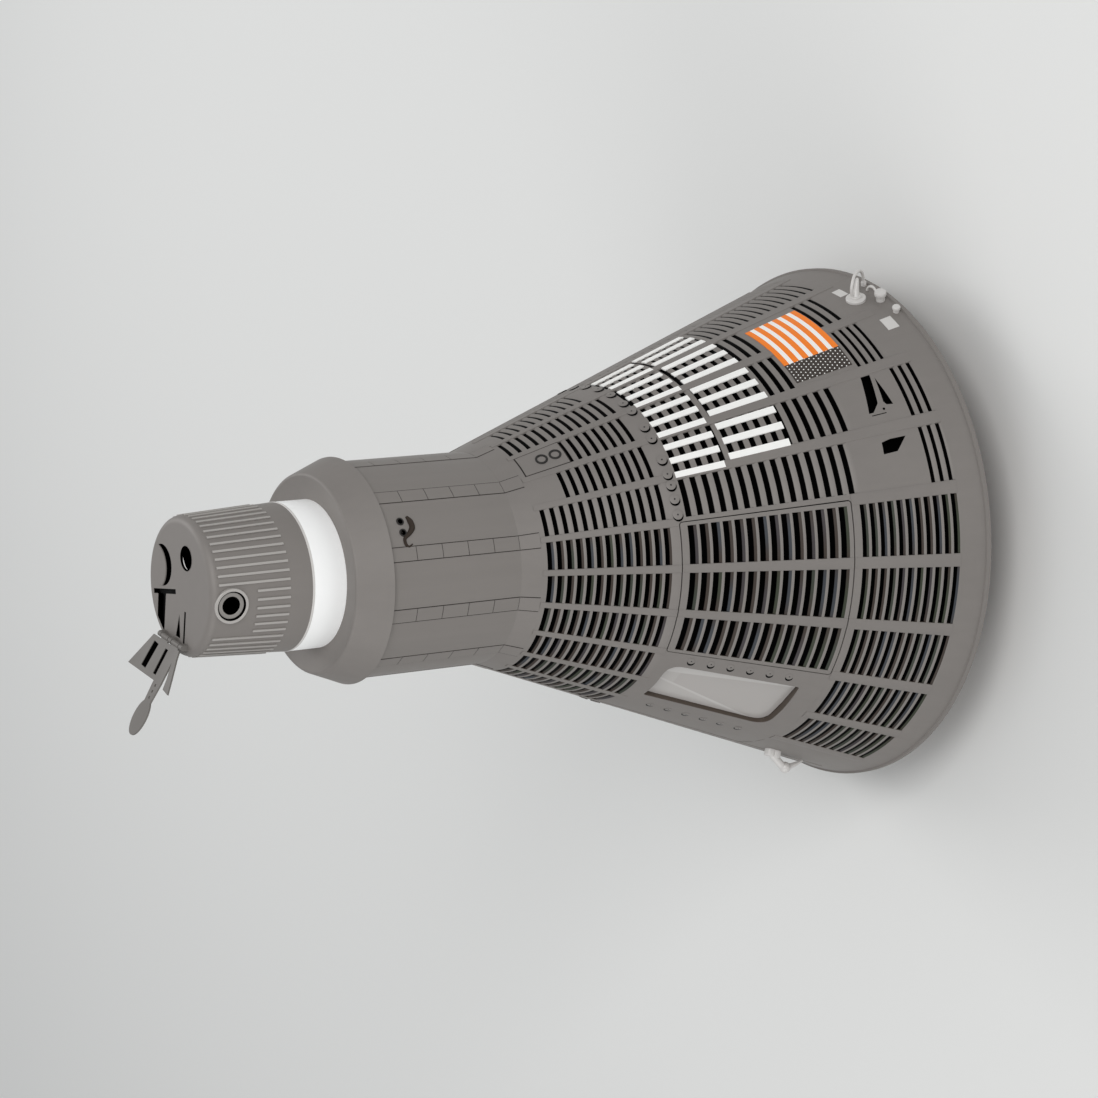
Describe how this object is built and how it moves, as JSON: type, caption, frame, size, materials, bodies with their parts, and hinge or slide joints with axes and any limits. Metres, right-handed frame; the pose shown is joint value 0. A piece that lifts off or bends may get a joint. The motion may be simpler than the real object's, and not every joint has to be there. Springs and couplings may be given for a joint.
{
  "type": "space capsule",
  "caption": "Small conical crew capsule on a domed heat shield, with louvred skin, lift-away side hatch, window, recovery cylinder, ribbed nose canister and hinged nose flap.",
  "frame": {"origin": "lowest point of the domed heat shield, on the capsule's axis", "axes": "+Z along the capsule's axis from the heat shield to the nose; -Y out through the middle of the hatch; +X to the right of the hatch seen from outside"},
  "size_m": [1.9431, 1.8918, 3.0895],
  "materials": {
    "ablator": "matt moulded glass fibre",
    "skin": "satin oxidised alloy",
    "wall": "matt dark",
    "cabin_metal": "satin",
    "white_band": "matt",
    "bare_metal": "satin",
    "dark_trim": "satin",
    "glass": "clear",
    "couch": "matt",
    "panel": "matt"
  },
  "bodies": {
    "capsule": {"heat_shield": "ablator", "skirt": "skin", "aft_bulkhead": "cabin_metal", "forward_bulkhead": "cabin_metal", "outer_wall": "wall", "pressure_wall": "cabin_metal", "shingles_aft": "skin", "shingles_mid": "skin", "shingles_forward": "skin", "window_panel": "skin", "port_panel": "skin", "strut_panel": "skin", "skirt_panel": "skin", "rails": "skin", "window_frame": "dark_trim", "window_pane": "glass", "thruster_panel": "skin", "recovery_cylinder": "skin", "cylinder_strips": "skin", "flare": "skin", "antenna_band": "white_band", "canister": "skin", "scanner": "bare_metal", "nose_port": "dark_trim", "mortar_cap": "bare_metal", "flap_bracket": "bare_metal", "couch": "couch", "couch_beams": "cabin_metal", "instrument_panel": "panel", "left_console": "panel", "right_console": "panel", "umbilical": "bare_metal", "rim_knobs": "dark_trim", "side_strut": "bare_metal"},
    "hatch": {"hatch_shingles": "skin", "hatch_rails": "skin", "hatch_panel": "wall", "hatch_plug": "cabin_metal"},
    "flap": {"flap_plate": "bare_metal", "flap_strip": "bare_metal"}
  },
  "joints": [
    {"name": "hatch_lift", "type": "slide", "parent": "capsule", "child": "hatch", "axis": [0, -0.9397, 0.342], "range_m": [0, 0.45]},
    {"name": "flap_hinge", "type": "hinge", "parent": "capsule", "child": "flap", "pos_m": [-0.186, 0, 2.93518], "axis": [0, 1, 0], "range_deg": [0, 150]}
  ]
}
